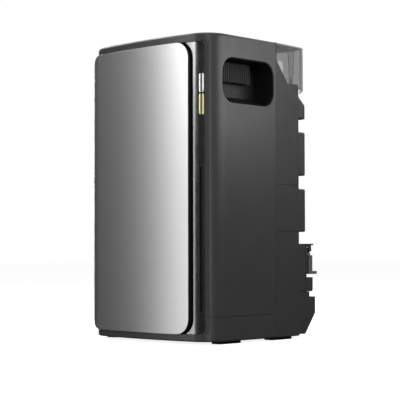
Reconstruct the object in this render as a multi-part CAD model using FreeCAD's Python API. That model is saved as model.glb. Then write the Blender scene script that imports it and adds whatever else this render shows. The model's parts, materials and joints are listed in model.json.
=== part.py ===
import FreeCAD, Part
import math
import os

# Compact portable air conditioner, built as separate pieces in millimetres.
#
# Frame: +Z up, -Y is the front, +X is the right side seen from the front. The origin is the centre
# of the object's own box, at floor level. Every function below makes one piece, or one group of
# identical pieces, and main() writes each of them to parts/NODE.step.

V = FreeCAD.Vector
X_AXIS, Y_AXIS, Z_AXIS = V(1, 0, 0), V(0, 1, 0), V(0, 0, 1)

# ---------------------------------------------------------------- driving dimensions
HEIGHT = 519.0           # floor to top
HALF_WIDTH = 152.0       # half the cabinet's width
HALF_DEPTH = 168.0       # half the overall depth, panel face to latch tab
FOOT_HEIGHT = 5.0
WALL = 3.0               # cabinet wall
GAP = 0.4                # clearance between neighbouring pieces

FRONT_RIM_Y = -164.0     # foremost point of the cabinet's bowed front
BOW_RADIUS = 870.0
CORNER_RADIUS = 42.0     # front corner on the right, and the softer one on the left
LEFT_CORNER_RADIUS = 60.0
SEAM_Y = 15.0            # where the front cabinet meets the rear shell
BASE_TOP = 46.0          # top of the base, at the horizontal seam
REAR_Y = 88.0            # outside of the rear wall
REAR_HALF_WIDTH = 146.7  # half width of the rear shell at its rear wall
REAR_CORNER = 8.0

OPENING_HALF = 134.8     # front opening: half width, bottom, top, corner
OPENING_BOTTOM, OPENING_TOP = 17.0, 505.0
OPENING_CORNER = 12.0

PANEL_BOTTOM, PANEL_TOP = 17.0, 504.5
PANEL_RIGHT = 109.6      # straight right edge of the front panel
PANEL_PROUD = 4.0        # how far the panel's face stands out from the cabinet
PANEL_CURL = 48.0        # radius of the panel's own curl at the left corner
PANEL_WRAP = 35.0        # how far the panel goes round that curl, degrees from the front
PANEL_LEFT = -133.9      # left edge of the panel after the curl
PANEL_CORNER_RIGHT, PANEL_CORNER_LEFT = 25.0, 26.0
SKIN = 1.2
PANEL_DEPTH = 10.0       # skin and backing together

FRAME_SINK = 4.0         # glossy frame below the cabinet's surface
RECESS_GAP = 3.2         # sunken gap between the panel and the control column
COLUMN_LEFT = PANEL_RIGHT + RECESS_GAP
FRAME_FLOOR_Y = -140.0   # sunken floor behind the panel
FRAME_REAR_Y = -124.0
CONTROL_ANGLE = 29.5     # direction the buttons face, from the front towards the right
LIGHT_ANGLE = 27.0       # the same for the status window
CONTROL_WIDTH = 9.2
KEY_TOP, KEY_SPLIT, KEY_BOTTOM = 451.0, 418.0, 382.0
KEY_TRAVEL = 1.2
LIGHT_TOP, LIGHT_BOTTOM = 297.5, 52.5

HANDLE_Y0, HANDLE_Y1 = -120.0, 10.5
HANDLE_Z0, HANDLE_Z1 = 404.0, 480.0
HANDLE_CORNER = 25.0
HANDLE_DEPTH = 46.0

HOOD_FRONT = 20.0        # clear hood over the rear deck
HOOD_REAR = 109.6
HOOD_CORNER = 20.0
HOOD_WALL = 2.6
DECK_TOP = 488.0         # top of the sloping deck
SHELF_Z = 450.0
SHELF_FRONT = 51.0
SHELF_REAR = 81.0        # where the shelf starts to drop to the rear wall
SHELF_DROP = 9.5
HOOD_SKIRT = 447.5       # lower edge of the hood's rear wall
HOOD_FOOT = 434.5

BLOCK_HALF, BLOCK_REAR = 138.0, 116.8     # louvred blocks behind
BLOCK_CORNER = 8.0
BLOCKS = {"top": (391.7, 433.5), "upper": (290.0, 368.0), "lower": (189.0, 266.0)}
TOP_SHOULDER = 411.5     # where the top block starts to slope
PORT_HALF, PORT_REAR = 120.0, 135.5       # block with the sockets
PORT_BOTTOM, PORT_TOP = 81.5, 168.0
SOCKET_Z = 124.5         # middle of the sockets
SKIRT_REAR, SKIRT_STEP, SKIRT_TOE = 163.5, 145.2, 133.5
SKIRT_TOP, SKIRT_KNEE = 71.8, 44.4
DRAIN_X, DRAIN_Z = 70.0, 57.5
LATCH_X0, LATCH_X1 = 101.0, 120.0
LATCH_REAR = 155.0
LATCH_PIN_Z = 157.0
LATCH_TAB_Z = 112.8      # underside of the latch's tab


# ---------------------------------------------------------------- small helpers
def box(x0, x1, y0, y1, z0, z1):
    return Part.makeBox(x1 - x0, y1 - y0, z1 - z0, V(x0, y0, z0))


def cylinder(radius, base, axis, length):
    return Part.makeCylinder(radius, length, base, axis)


def ring(outer, inner, base, axis, length):
    return cylinder(outer, base, axis, length).cut(cylinder(inner, base, axis, length))


def line(a, b):
    return Part.LineSegment(V(*a), V(*b)).toShape()


def arc(a, middle, b):
    return Part.Arc(V(*a), V(*middle), V(*b)).toShape()


def face_of(edges):
    return Part.Face(Part.Wire(edges))


def prism(points, vector):
    """Closed polygon of 3-D points, pushed along a vector."""
    closed = [V(*p) for p in points] + [V(*points[0])]
    return Part.Face(Part.makePolygon(closed)).extrude(vector)


def rounded_prism(u0, u1, v0, v1, radius, plane, start, length):
    """Rounded rectangle extruded along an axis. plane 'xz' goes along +Y, 'yz' along +X, 'xy' along +Z."""
    place = {
        "xz": lambda u, v: (u, start, v),
        "yz": lambda u, v: (start, u, v),
        "xy": lambda u, v: (u, v, start),
    }[plane]
    direction = {"xz": Y_AXIS, "yz": X_AXIS, "xy": Z_AXIS}[plane]
    k = radius * (1 - math.sqrt(0.5))
    corners = [(u0, v0, 1, 1), (u1, v0, -1, 1), (u1, v1, -1, -1), (u0, v1, 1, -1)]
    edges = []
    for i, (cu, cv, su, sv) in enumerate(corners):
        along_v = (cu, cv + sv * radius)
        along_u = (cu + su * radius, cv)
        a, b = (along_v, along_u) if i % 2 == 0 else (along_u, along_v)
        middle = (cu + su * k, cv + sv * k)
        edges.append(arc(place(*a), place(*middle), place(*b)))
        nu, nv, nsu, nsv = corners[(i + 1) % 4]
        c = (nu + nsu * radius, nv) if i % 2 == 0 else (nu, nv + nsv * radius)
        if math.dist(b, c) > 1e-6:
            edges.append(line(place(*b), place(*c)))
    return face_of(edges).extrude(direction * length)


def fuse(shapes):
    shapes = list(shapes)
    return shapes[0].multiFuse(shapes[1:]).removeSplitter() if len(shapes) > 1 else shapes[0]


def cut_all(shape, tools):
    return shape.cut(Part.makeCompound(list(tools)))


def group(shapes):
    """Separate identical solids that share one node."""
    return Part.makeCompound(list(shapes))


def fillet_where(shape, radius, test):
    """Rounds the edges that test() picks, and leaves the shape alone if the kernel can't."""
    edges = [e for e in shape.Edges if test(e)]
    if not edges:
        return shape
    try:
        rounded = shape.makeFillet(radius, edges)
        if rounded.isValid() and rounded.Volume > 0:
            return rounded
    except Part.OCCError:
        pass
    print("fillet skipped:", radius, len(edges), "edges")
    return shape


def at_height(z, tolerance=0.01):
    return lambda e: abs(e.BoundBox.ZMin - z) < tolerance and abs(e.BoundBox.ZMax - z) < tolerance


def mirrored(shape):
    return shape.mirror(V(0, 0, 0), X_AXIS)


def corner_centre(radius=CORNER_RADIUS):
    """Centre of a front corner of that radius, on the right side."""
    cx = HALF_WIDTH - radius
    reach = BOW_RADIUS - radius
    return cx, FRONT_RIM_Y + BOW_RADIUS - math.sqrt(reach**2 - cx**2)


# ---------------------------------------------------------------- cabinet outlines in plan
def corner_arc(radius, inset):
    """Where a front corner meets the bow, the middle of its arc, and where it meets the side."""
    cx, cy = corner_centre(radius)
    turn = math.asin(cx / (BOW_RADIUS - radius))
    bow = BOW_RADIUS - inset
    joint = (bow * math.sin(turn), FRONT_RIM_Y + BOW_RADIUS - bow * math.cos(turn))
    half = turn + (math.pi / 2 - turn) / 2
    middle = (cx + (radius - inset) * math.sin(half), cy - (radius - inset) * math.cos(half))
    return joint, middle, (HALF_WIDTH - inset, cy)


def front_plan(inset, z, rear_y, left):
    """Face of the bowed front cabinet, inset from its outside, closed at rear_y."""
    joint, middle, end = corner_arc(CORNER_RADIUS, inset)
    left_joint, left_middle, left_end = corner_arc(left, inset)
    side = HALF_WIDTH - inset
    return face_of([
        line((side, rear_y, z), (*end, z)),
        arc((*end, z), (*middle, z), (*joint, z)),
        arc((*joint, z), (0, FRONT_RIM_Y + inset, z), (-left_joint[0], left_joint[1], z)),
        arc((-left_joint[0], left_joint[1], z), (-left_middle[0], left_middle[1], z),
            (-left_end[0], left_end[1], z)),
        line((-left_end[0], left_end[1], z), (-side, rear_y, z)),
        line((-side, rear_y, z), (side, rear_y, z)),
    ])


def front_block(inset, z0, z1, rear_y=SEAM_Y, left=LEFT_CORNER_RADIUS):
    return front_plan(inset, z0, rear_y, left).extrude(V(0, 0, z1 - z0))


def rear_plan(inset, z, front_y, rear_y=REAR_Y, corner=REAR_CORNER):
    """Face of the tapering rear shell, inset from its outside, from front_y back to rear_y."""
    slope = (HALF_WIDTH - REAR_HALF_WIDTH) / (REAR_Y - SEAM_Y)

    def side(y):
        return HALF_WIDTH - slope * (y - SEAM_Y) - inset

    back = rear_y - inset
    radius = corner - inset
    top = (side(back - radius), back - radius)
    k = radius * (1 - math.sqrt(0.5))
    middle = (top[0] - k, back - k)
    end = (top[0] - radius, back)
    return face_of([
        line((side(front_y), front_y, z), (*top, z)),
        arc((*top, z), (*middle, z), (*end, z)),
        line((*end, z), (-end[0], end[1], z)),
        arc((-end[0], end[1], z), (-middle[0], middle[1], z), (-top[0], top[1], z)),
        line((-top[0], top[1], z), (-side(front_y), front_y, z)),
        line((-side(front_y), front_y, z), (side(front_y), front_y, z)),
    ])


def rear_block(inset, z0, z1, front_y, rear_y=REAR_Y, corner=REAR_CORNER):
    return rear_plan(inset, z0, front_y, rear_y, corner).extrude(V(0, 0, z1 - z0))


def opening_tool(grow=0.0, y0=-200.0, y1=-90.0):
    return rounded_prism(
        -OPENING_HALF - grow, OPENING_HALF + grow, OPENING_BOTTOM - grow, OPENING_TOP + grow,
        OPENING_CORNER + grow, "xz", y0, y1 - y0)


def handle_tool(grow, x0, x1):
    return rounded_prism(
        HANDLE_Y0 - grow, HANDLE_Y1 + grow, HANDLE_Z0 - grow, HANDLE_Z1 + grow,
        HANDLE_CORNER + grow, "yz", x0, x1 - x0)


# ---------------------------------------------------------------- cabinet
def main_shell():
    """Bowed front cabinet above the base: both sides, the top and the rim round the front."""
    outer = front_block(0, BASE_TOP + GAP, HEIGHT)
    outer = fillet_where(outer, 5.0, lambda e: at_height(HEIGHT)(e) and e.BoundBox.YMin < SEAM_Y - 1)
    inner = front_block(WALL, BASE_TOP - 5, HEIGHT - WALL)
    shell = outer.cut(inner).cut(opening_tool()).cut(edge_bevel())
    pockets = group([handle_tool(0, 120, 160), handle_tool(0, -160, -120)])
    shell = fillet_where(shell.cut(pockets), 1.6, is_handle_edge)
    return fillet_where(shell, 1.6, lambda e: is_handle_edge(e, -1))


def is_handle_edge(e, side=1):
    """True for the flat part of the hand hold's outer edge on one side."""
    b = e.BoundBox
    inside = b.ZMin > HANDLE_Z0 - 1 and b.ZMax < HANDLE_Z1 + 1
    inside = inside and b.YMin > HANDLE_Y0 - 1 and b.YMax < HANDLE_Y1 + 1
    return inside and b.XMin * side > HALF_WIDTH - 0.4 and b.XMax * side > HALF_WIDTH - 0.4


def edge_bevel():
    """Shallow bevel along the right upright edge of the front opening."""
    cx, cy = corner_centre()
    start = (OPENING_HALF - 5.0, cy - 33.5)
    end = (cx + 30.37, cy - 29.02)
    out = (end[0] + 14.4, end[1] - 13.8)
    wedge = prism([(*p, OPENING_BOTTOM) for p in (
        start, end, out, (out[0], -190.0), (start[0], -190.0))], V(0, 0, OPENING_TOP - OPENING_BOTTOM))
    return wedge.common(opening_tool(6.5))


def base_shell():
    """Tray under the front cabinet, with the lower rim of the front opening and a floor."""
    outer = front_block(0, FOOT_HEIGHT, BASE_TOP)
    outer = fillet_where(
        outer, 3.0, lambda e: at_height(FOOT_HEIGHT)(e) and e.BoundBox.YMin < SEAM_Y - 1)
    inner = front_block(WALL, FOOT_HEIGHT + WALL, BASE_TOP + 5)
    return outer.cut(inner).cut(opening_tool()).cut(edge_bevel())


def deck_cut(lift):
    """Side profile that takes the top off the rear shell: a steep deck, a shelf and a short drop."""
    y0, y1, y2 = HOOD_FRONT - lift, SHELF_FRONT - lift, SHELF_REAR - lift
    return prism([
        (-200, y0, HEIGHT + 10), (-200, y0, DECK_TOP - lift), (-200, y1, SHELF_Z - lift),
        (-200, y2, SHELF_Z - lift), (-200, REAR_Y + 1 - lift, SHELF_Z - SHELF_DROP - lift),
        (-200, 200, SHELF_Z - SHELF_DROP - lift), (-200, 200, HEIGHT + 10)], V(400, 0, 0))


def facet_cut(sign):
    """Flat facet that thins the side of the rear shell upwards, below the hood."""
    slope = (HALF_WIDTH - REAR_HALF_WIDTH) / (REAR_Y - SEAM_Y)
    low = V(sign * HALF_WIDTH, SEAM_Y, 400)
    high = V(sign * (HALF_WIDTH - slope * 85), SEAM_Y + 85, 437)
    up = V(-sign * 2.2, 0, 130)
    return prism([tuple(p) for p in (low, high, high + up, low + up)], V(sign * 12, 0, 0))


def rear_shell():
    """Rear half of the cabinet: tapering sides, rear wall with two air intakes, deck and shelf."""
    outer = rear_block(0, FOOT_HEIGHT, HEIGHT, SEAM_Y + GAP).cut(deck_cut(0))
    inner = rear_block(WALL, FOOT_HEIGHT + WALL, HEIGHT - WALL, SEAM_Y - 5).cut(deck_cut(WALL))
    shell = outer.cut(inner)
    shell = fillet_where(shell, 2.0, lambda e: at_height(FOOT_HEIGHT)(e) and e.BoundBox.YMax > 60)
    grooves = [
        rear_block(-5, z - 0.6, z + 0.6, SEAM_Y + 4).cut(rear_block(0.8, z - 1, z + 1, SEAM_Y))
        for z in (BLOCKS["lower"][0], BLOCKS["lower"][1] + 5.0)
    ]
    intakes = [
        rounded_prism(-112, 112, z0 + 8, z1 - 8, 6, "xz", REAR_Y - 10, 20)
        for z0, z1 in (BLOCKS["upper"], BLOCKS["lower"])
    ]
    slots = [rounded_prism(x - 4.5, x + 4.5, 455, 477, 4.4, "xz", 15, 40) for x in range(-112, 113, 16)]
    port = rounded_prism(-60, 60, PORT_BOTTOM + 12.5, PORT_TOP - 13, 5, "xz", REAR_Y - 10, 20)
    drain = cylinder(9.0, V(DRAIN_X, REAR_Y - 10, DRAIN_Z), Y_AXIS, 20)
    bosses = [cylinder(2.2, V(x, y, SHELF_Z - 10), Z_AXIS, 20) for x, y in HOOD_BOSSES]
    tail = [cylinder(2.2, V(x, REAR_Y - 10, z), Y_AXIS, 20) for x, z in BLOCK_SCREWS]
    facets = [facet_cut(1), facet_cut(-1)]
    return cut_all(shell, grooves + intakes + slots + [port, drain] + bosses + tail + facets)


HOOD_BOSSES = [(137.0, 75.0), (-137.0, 75.0), (-40.0, 75.0), (40.0, 75.0)]
BLOCK_SCREWS = [(sx * x, z) for sx in (-1, 1) for x, z in ((120.0, 401.0), (108.0, 161.0), (108.0, 24.0))]


def hood():
    """Clear cover over the deck, hollow, with an outlet in its rear wall and four screw bosses."""
    outer = rear_block(0, HOOD_FOOT, HEIGHT, HOOD_FRONT + GAP, HOOD_REAR, HOOD_CORNER)
    outer = fillet_where(outer, 3.0, lambda e: at_height(HEIGHT)(e) and e.BoundBox.YMax > HOOD_FRONT + 2)
    inner = rear_block(
        HOOD_WALL, HOOD_FOOT - 5, HEIGHT - HOOD_WALL, HOOD_FRONT - 5, HOOD_REAR, HOOD_CORNER)
    shell = outer.cut(inner)
    shell = shell.cut(prism([
        (-200, HOOD_FRONT - 5, DECK_TOP + 9), (-200, HOOD_FRONT + GAP, DECK_TOP + GAP),
        (-200, SHELF_FRONT + GAP, SHELF_Z + GAP), (-200, SHELF_REAR + GAP, SHELF_Z + GAP),
        (-200, REAR_Y + GAP, SHELF_Z - SHELF_DROP + 1.6), (-200, REAR_Y + GAP, HOOD_FOOT - 5),
        (-200, HOOD_FRONT - 5, HOOD_FOOT - 5)], V(400, 0, 0)))
    shell = shell.cut(prism([
        (-200, REAR_Y, HOOD_FOOT), (-200, HOOD_REAR, HOOD_SKIRT), (-200, HOOD_REAR + 1, HOOD_SKIRT),
        (-200, HOOD_REAR + 1, HOOD_FOOT - 5), (-200, REAR_Y, HOOD_FOOT - 5)], V(400, 0, 0)))
    lip = prism([
        (-118, REAR_Y + GAP, HOOD_FOOT + 0.5), (-118, HOOD_REAR - 0.6, HOOD_SKIRT),
        (-118, HOOD_REAR - 0.6, HOOD_SKIRT + 3.2), (-118, REAR_Y + GAP, HOOD_FOOT + 3.7)], V(236, 0, 0))
    outlet = rounded_prism(-92, 92, 460, 503, 10, "xz", HOOD_REAR - 12, 20)
    shell = fuse([shell, lip]).cut(outlet)
    top = HEIGHT - HOOD_WALL
    bosses = []
    for x, y in HOOD_BOSSES:
        cone = Part.makeCone(3.6, 6.2, top - SHELF_Z - GAP, V(x, y, SHELF_Z + GAP), Z_AXIS)
        bosses.append(cone.cut(cylinder(1.7, V(x, y, SHELF_Z - 1), Z_AXIS, 15)))
    return fuse([shell] + bosses)


def screw(point, axis, length=9.0, radius=1.6, head=3.4):
    """Pan-head screw: shank along the axis from the point, head behind it, with a cross recess."""
    shank = cylinder(radius, point, axis, length)
    cap = cylinder(head, point - axis * 2.0, axis, 2.0)
    recess = cylinder(1.1, point - axis * 2.0, axis, 1.2)
    return fuse([shank, cap]).cut(recess)


def hood_screws():
    return group(
        screw(V(x, y, SHELF_Z - WALL - 0.1), Z_AXIS, 13.0) for x, y in HOOD_BOSSES)


# ---------------------------------------------------------------- front frame and panel
def recess_tool(grow, y0, y1):
    """Space sunk into the frame for the panel, round at its two right corners."""
    return rounded_prism(
        -200, COLUMN_LEFT + grow, PANEL_BOTTOM - RECESS_GAP - grow, PANEL_TOP + RECESS_GAP + grow,
        PANEL_CORNER_RIGHT + RECESS_GAP + grow, "xz", y0, y1 - y0)


def front_frame():
    """Glossy frame that fills the front opening: the rounded control column on the right and a
    sunken floor behind the panel, with a tall air outlet in it."""
    half, bottom, top = OPENING_HALF - GAP, OPENING_BOTTOM + GAP, OPENING_TOP - GAP
    inside = rounded_prism(-half, half, bottom, top, OPENING_CORNER - GAP, "xz", -200, 110)
    body = front_block(FRAME_SINK, OPENING_BOTTOM, OPENING_TOP, FRAME_REAR_Y).common(inside)
    hollow = front_block(FRAME_SINK + 3.0, bottom + 4, top - 4, -90).common(
        rounded_prism(-half + 4, half - 2.5, bottom + 4, top - 4, 9, "xz", -200, 120))
    floor = box(-half + 1, COLUMN_LEFT + 2, FRAME_FLOOR_Y, FRAME_FLOOR_Y + 3, bottom + 2, top - 2)
    wall = recess_tool(3.0, -200, FRAME_FLOOR_Y + 3).cut(recess_tool(0.0, -210, FRAME_FLOOR_Y + 10))
    wall = wall.common(front_block(FRAME_SINK + 0.5, OPENING_BOTTOM, OPENING_TOP, -90))
    frame = fuse([
        body.cut(hollow).cut(recess_tool(0.0, -210, FRAME_FLOOR_Y)), floor.common(inside),
        wall.common(inside)])
    outlet = rounded_prism(-96, 84, 60, 464, 8, "xz", -200, 110)
    studs = [cylinder(2.6, V(x, -200, z), Y_AXIS, 100) for x, z in STANDOFFS]
    return cut_all(frame, [outlet, key_slot(0.35), light_slot(0.2)] + studs)


def control_block(width, z0, z1, inner_radius, outer_radius, end_radius, angle=CONTROL_ANGLE):
    """Tall obround block standing on the control column, square to its face."""
    half = width / 2
    blank = rounded_prism(-half, half, z0, z1, end_radius, "xz", -outer_radius, outer_radius - inner_radius)
    blank.rotate(V(0, 0, 0), Z_AXIS, angle)
    cx, cy = corner_centre()
    blank.translate(V(cx, cy, 0))
    return blank


def key_slot(grow):
    return control_block(
        CONTROL_WIDTH + 2 * grow, KEY_BOTTOM - grow, KEY_TOP + grow,
        CORNER_RADIUS - 16, CORNER_RADIUS + 10, 3.6 + grow)


def light_slot(grow):
    return control_block(
        7.6 + 2 * grow, LIGHT_BOTTOM - grow, LIGHT_TOP + grow,
        CORNER_RADIUS - 12, CORNER_RADIUS + 10, 3.2 + grow, LIGHT_ANGLE)


def key(z0, z1):
    """Push key with a crowned face and a flange behind the frame that keeps it in."""
    face = CORNER_RADIUS - FRAME_SINK + 1.4
    back = face - 8.0
    cap = control_block(CONTROL_WIDTH, z0, z1, back, face, 3.4)
    cx, cy = corner_centre()
    a = math.radians(CONTROL_ANGLE)
    crown_radius = 9.0
    reach = face - crown_radius
    centre = V(cx + reach * math.sin(a), cy - reach * math.cos(a), z0 - 5)
    cap = cap.common(cylinder(crown_radius, centre, Z_AXIS, z1 - z0 + 10))
    flange = control_block(CONTROL_WIDTH + 2, z0 + 1.2, z1 - 1.2, back, back + 1.7, 3.4)
    return fuse([cap, flange])


def mode_key():
    return key(KEY_SPLIT + 0.8, KEY_TOP)


def power_key():
    return key(KEY_BOTTOM, KEY_SPLIT - 0.8)


def light_bar():
    """Long status window set into the control column."""
    face = CORNER_RADIUS - FRAME_SINK
    bar = control_block(5.6, LIGHT_BOTTOM + 1, LIGHT_TOP - 1, face - 7.5, face - 0.9, 2.4, LIGHT_ANGLE)
    groove = control_block(2.0, LIGHT_BOTTOM + 5, LIGHT_TOP - 5, face - 1.9, face, 0.9, LIGHT_ANGLE)
    return bar.cut(groove)


def light_trim():
    """Thin bright surround of the status window."""
    face = CORNER_RADIUS - FRAME_SINK
    outer = control_block(7.6, LIGHT_BOTTOM, LIGHT_TOP, face - 3.4, face + 0.15, 3.4, LIGHT_ANGLE)
    return outer.cut(control_block(
        5.8, LIGHT_BOTTOM + 0.9, LIGHT_TOP - 0.9, face - 6, face + 5, 2.5, LIGHT_ANGLE))


def control_board():
    """Circuit board behind the keys, with two tact switches."""
    top = CORNER_RADIUS - FRAME_SINK + 1.4 - 8.0 - KEY_TRAVEL - 0.1
    board = control_block(14, 48, 462, 19.0, 20.6, 2)
    switches = [
        control_block(6, z - 3, z + 3, 20.6, top, 0.8)
        for z in ((KEY_TOP + KEY_SPLIT) / 2, (KEY_SPLIT + KEY_BOTTOM) / 2)
    ]
    return fuse([board] + switches)


def panel_layer(outset, inset, trim, left_limit):
    """Bowed layer of the front panel between two offsets of the cabinet's outline."""
    z0, z1 = PANEL_BOTTOM + trim, PANEL_TOP - trim
    layer = front_block(-outset, z0, z1, left=PANEL_CURL)
    layer = layer.cut(front_block(inset, z0 - 5, z1 + 5, SEAM_Y + 5, PANEL_CURL))
    right, left = PANEL_CORNER_RIGHT - trim, PANEL_CORNER_LEFT - trim
    mask = fuse([
        rounded_prism(left_limit + trim, 0, z0, z1, left, "xz", -220, 200),
        rounded_prism(-60, PANEL_RIGHT - trim, z0, z1, right, "xz", -220, 200)])
    cx, cy = corner_centre(PANEL_CURL)
    a = math.radians(PANEL_WRAP)
    away = V(-math.sin(a), -math.cos(a), 0) * 200
    pivot = V(-cx, cy, 0)
    wrap = prism([tuple(pivot), tuple(pivot + away), (-400, -400, 0), (400, -400, 0), (400, cy, 0)],
                 V(0, 0, HEIGHT))
    return layer.common(mask).common(wrap)


def front_panel():
    """Brushed metal skin of the front, wrapped round the left corner."""
    return panel_layer(PANEL_PROUD, -PANEL_PROUD + SKIN, 0.0, PANEL_LEFT)


def panel_backing():
    """Dark tray bonded behind the skin: deep in the middle, thin where it passes the cabinet."""
    thin = panel_layer(PANEL_PROUD - SKIN, -GAP, 0.8, PANEL_LEFT)
    deep = panel_layer(PANEL_PROUD - SKIN, PANEL_DEPTH - PANEL_PROUD, 0.8, -OPENING_HALF + 10)
    window = rounded_prism(
        -OPENING_HALF + 3, OPENING_HALF, OPENING_BOTTOM + 2, OPENING_TOP - 2, 18, "xz", -220, 200)
    return fuse([thin, deep.common(window)])


def panel_back_y(x):
    """Rear face of the backing at a place across the front."""
    radius = BOW_RADIUS + PANEL_PROUD - PANEL_DEPTH
    return FRONT_RIM_Y + BOW_RADIUS - math.sqrt(radius**2 - x**2)


STANDOFFS = [(x, z) for x in (-104.0, 94.0) for z in (40.0, 262.0, 484.0)]


def panel_standoffs():
    """Stepped studs that carry the panel off the frame."""
    studs = []
    for x, z in STANDOFFS:
        start = panel_back_y(x) + 0.9
        collar = cylinder(6.0, V(x, start, z), Y_AXIS, FRAME_FLOOR_Y - 0.1 - start)
        stud = cylinder(2.4, V(x, FRAME_FLOOR_Y - 1, z), Y_AXIS, 7.0)
        studs.append(fuse([collar, stud]))
    return group(studs)


def outlet_grille():
    """Vertical vanes and cross bars in the cool-air outlet behind the panel."""
    y0, y1 = FRAME_FLOOR_Y + 7.0, FRAME_FLOOR_Y + 16.0
    border = rounded_prism(-100, 88, 56, 468, 8, "xz", y0, y1 - y0)
    window = rounded_prism(-94, 82, 62, 462, 6, "xz", y0 - 5, y1 - y0 + 10)
    vanes = [box(x - 1, x + 1, y0, y1, 60, 464) for x in range(-86, 82, 8)]
    bars = [box(-96, 84, y0 + 2, y1 - 2, z - 1.5, z + 1.5) for z in (162, 262, 362)]
    return fuse([border.cut(window)] + vanes + bars)


# ---------------------------------------------------------------- handles
def handle_pocket(sign):
    """Moulded cup behind the hand opening, with a floor that slopes up and inwards."""
    inner_x = HALF_WIDTH - HANDLE_DEPTH
    outer = handle_tool(2.6, inner_x - 2.6, HALF_WIDTH - WALL - GAP)
    hollow = handle_tool(-0.4, inner_x, HALF_WIDTH + 5)
    cup = outer.cut(hollow)
    ramp = prism([
        (HALF_WIDTH - WALL - GAP - 1.0, HANDLE_Y0 - 1, HANDLE_Z0 - 1),
        (inner_x - 1, HANDLE_Y0 - 1, HANDLE_Z0 + 16),
        (inner_x - 1, HANDLE_Y0 - 1, HANDLE_Z0 - 1)], V(0, HANDLE_Y1 - HANDLE_Y0 + 2, 0))
    ramp = ramp.common(handle_tool(0.5, inner_x - 1, HALF_WIDTH - WALL - GAP))
    flange = handle_tool(9.0, HALF_WIDTH - WALL - GAP - 1.6, HALF_WIDTH - WALL - GAP)
    flange = flange.cut(handle_tool(-0.4, 100, 200))
    flange = flange.common(box(0, 200, HANDLE_Y0 - 4, SEAM_Y - 1, 0, HEIGHT - WALL - 1))
    pocket = fuse([cup, ramp, flange])
    return (pocket if sign > 0 else mirrored(pocket)).common(front_block(WALL + GAP, 380, 500))


def handle_grip():
    """Ribbed grip pad on the upper inside of the hand hold."""
    inner_x = HALF_WIDTH - HANDLE_DEPTH
    pad = box(inner_x + 0.2, inner_x + 13, HANDLE_Y0 + 8, HANDLE_Y1 - 26, HANDLE_Z1 - 36, HANDLE_Z1 - 2)
    ribs = [
        cylinder(1.5, V(inner_x + 13, y, HANDLE_Z1 - 36), Z_AXIS, 34)
        for y in range(int(HANDLE_Y0) + 12, int(HANDLE_Y1) - 27, 5)
    ]
    pad = fuse([pad] + ribs)
    return pad.common(handle_tool(-0.8, inner_x, HALF_WIDTH))


# ---------------------------------------------------------------- rear blocks
def block_blank(half, z0, z1, rear_y, corner, edge):
    """Solid block on the rear wall with rounded upright corners and softened rims."""
    blank = rounded_prism(-half, half, REAR_Y - 30, rear_y, corner, "xy", z0, z1 - z0)
    blank = blank.common(box(-400, 400, REAR_Y + GAP, 400, 0, HEIGHT))
    return fillet_where(
        blank, edge,
        lambda e: (at_height(z0)(e) or at_height(z1)(e)) and e.BoundBox.YMax > REAR_Y + 2 * GAP)


def louvre_slots(z0, z1, rows, y0, length):
    """Three columns of long slots for a block's rear face."""
    pitch = (z1 - z0) / rows
    return [
        rounded_prism(c * 78.0 - 35, c * 78.0 + 35, z0 + pitch * (r + 0.5) - 2.6,
                      z0 + pitch * (r + 0.5) + 2.6, 2.5, "xz", y0, length)
        for c in (-1, 0, 1) for r in range(rows)
    ]


def top_block():
    """Fixed block under the hood, with a sloping top and two rows of vents."""
    z0, z1 = BLOCKS["top"]
    shoulder = TOP_SHOULDER
    y0, y1 = REAR_Y + GAP, BLOCK_REAR
    blank = rounded_prism(-BLOCK_HALF, BLOCK_HALF, REAR_Y - 30, y1, BLOCK_CORNER, "xy", z0, z1 - z0)
    blank = blank.common(prism([
        (-200, y0, z0 - 5), (-200, y1 + 5, z0 - 5), (-200, y1 + 5, shoulder - 4), (-200, y1, shoulder),
        (-200, y0 + 3, z1), (-200, y0, z1)], V(400, 0, 0)))
    blank = fillet_where(blank, 2.5, lambda e: at_height(z0)(e) and e.BoundBox.YMax > y0 + 1)
    inner = prism([
        (-BLOCK_HALF + 3, y0 - 5, z0 + 3), (-BLOCK_HALF + 3, y1 - 8, z0 + 3),
        (-BLOCK_HALF + 3, y1 - 8, shoulder + 4), (-BLOCK_HALF + 3, y0 + 3, z1 - 5),
        (-BLOCK_HALF + 3, y0 - 5, z1 - 5)], V(2 * BLOCK_HALF - 6, 0, 0))
    centre = box(-BLOCK_HALF + 10, BLOCK_HALF - 10, y1 - 9, y1 - 3, z0 + 3, shoulder - 2)
    bosses = [cylinder(5.0, V(x, y0, 401.0), Y_AXIS, y1 - 2 - y0) for x in (-120, 120)]
    block = fuse([cut_all(blank, [inner, centre])] + bosses)
    holes = [cylinder(1.7, V(x, y0 - 1, 401.0), Y_AXIS, 10) for x in (-120, 120)]
    return cut_all(block, louvre_slots(z0 + 4, shoulder - 1, 2, y1 - 5, 12) + holes)


def filter_cover(name):
    """Removable intake cover: hollow and slotted at the back."""
    z0, z1 = BLOCKS[name]
    cover = block_blank(BLOCK_HALF, z0, z1, BLOCK_REAR, BLOCK_CORNER, 3.0)
    cover = cover.cut(rounded_prism(
        -BLOCK_HALF + 2.5, BLOCK_HALF - 2.5, REAR_Y - 30, BLOCK_REAR - 2.5, BLOCK_CORNER - 2.5, "xy",
        z0 + 2.5, z1 - z0 - 5))
    return cut_all(cover, louvre_slots(z0 + 8, z1 - 6, 6, BLOCK_REAR - 8, 12))


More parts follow.
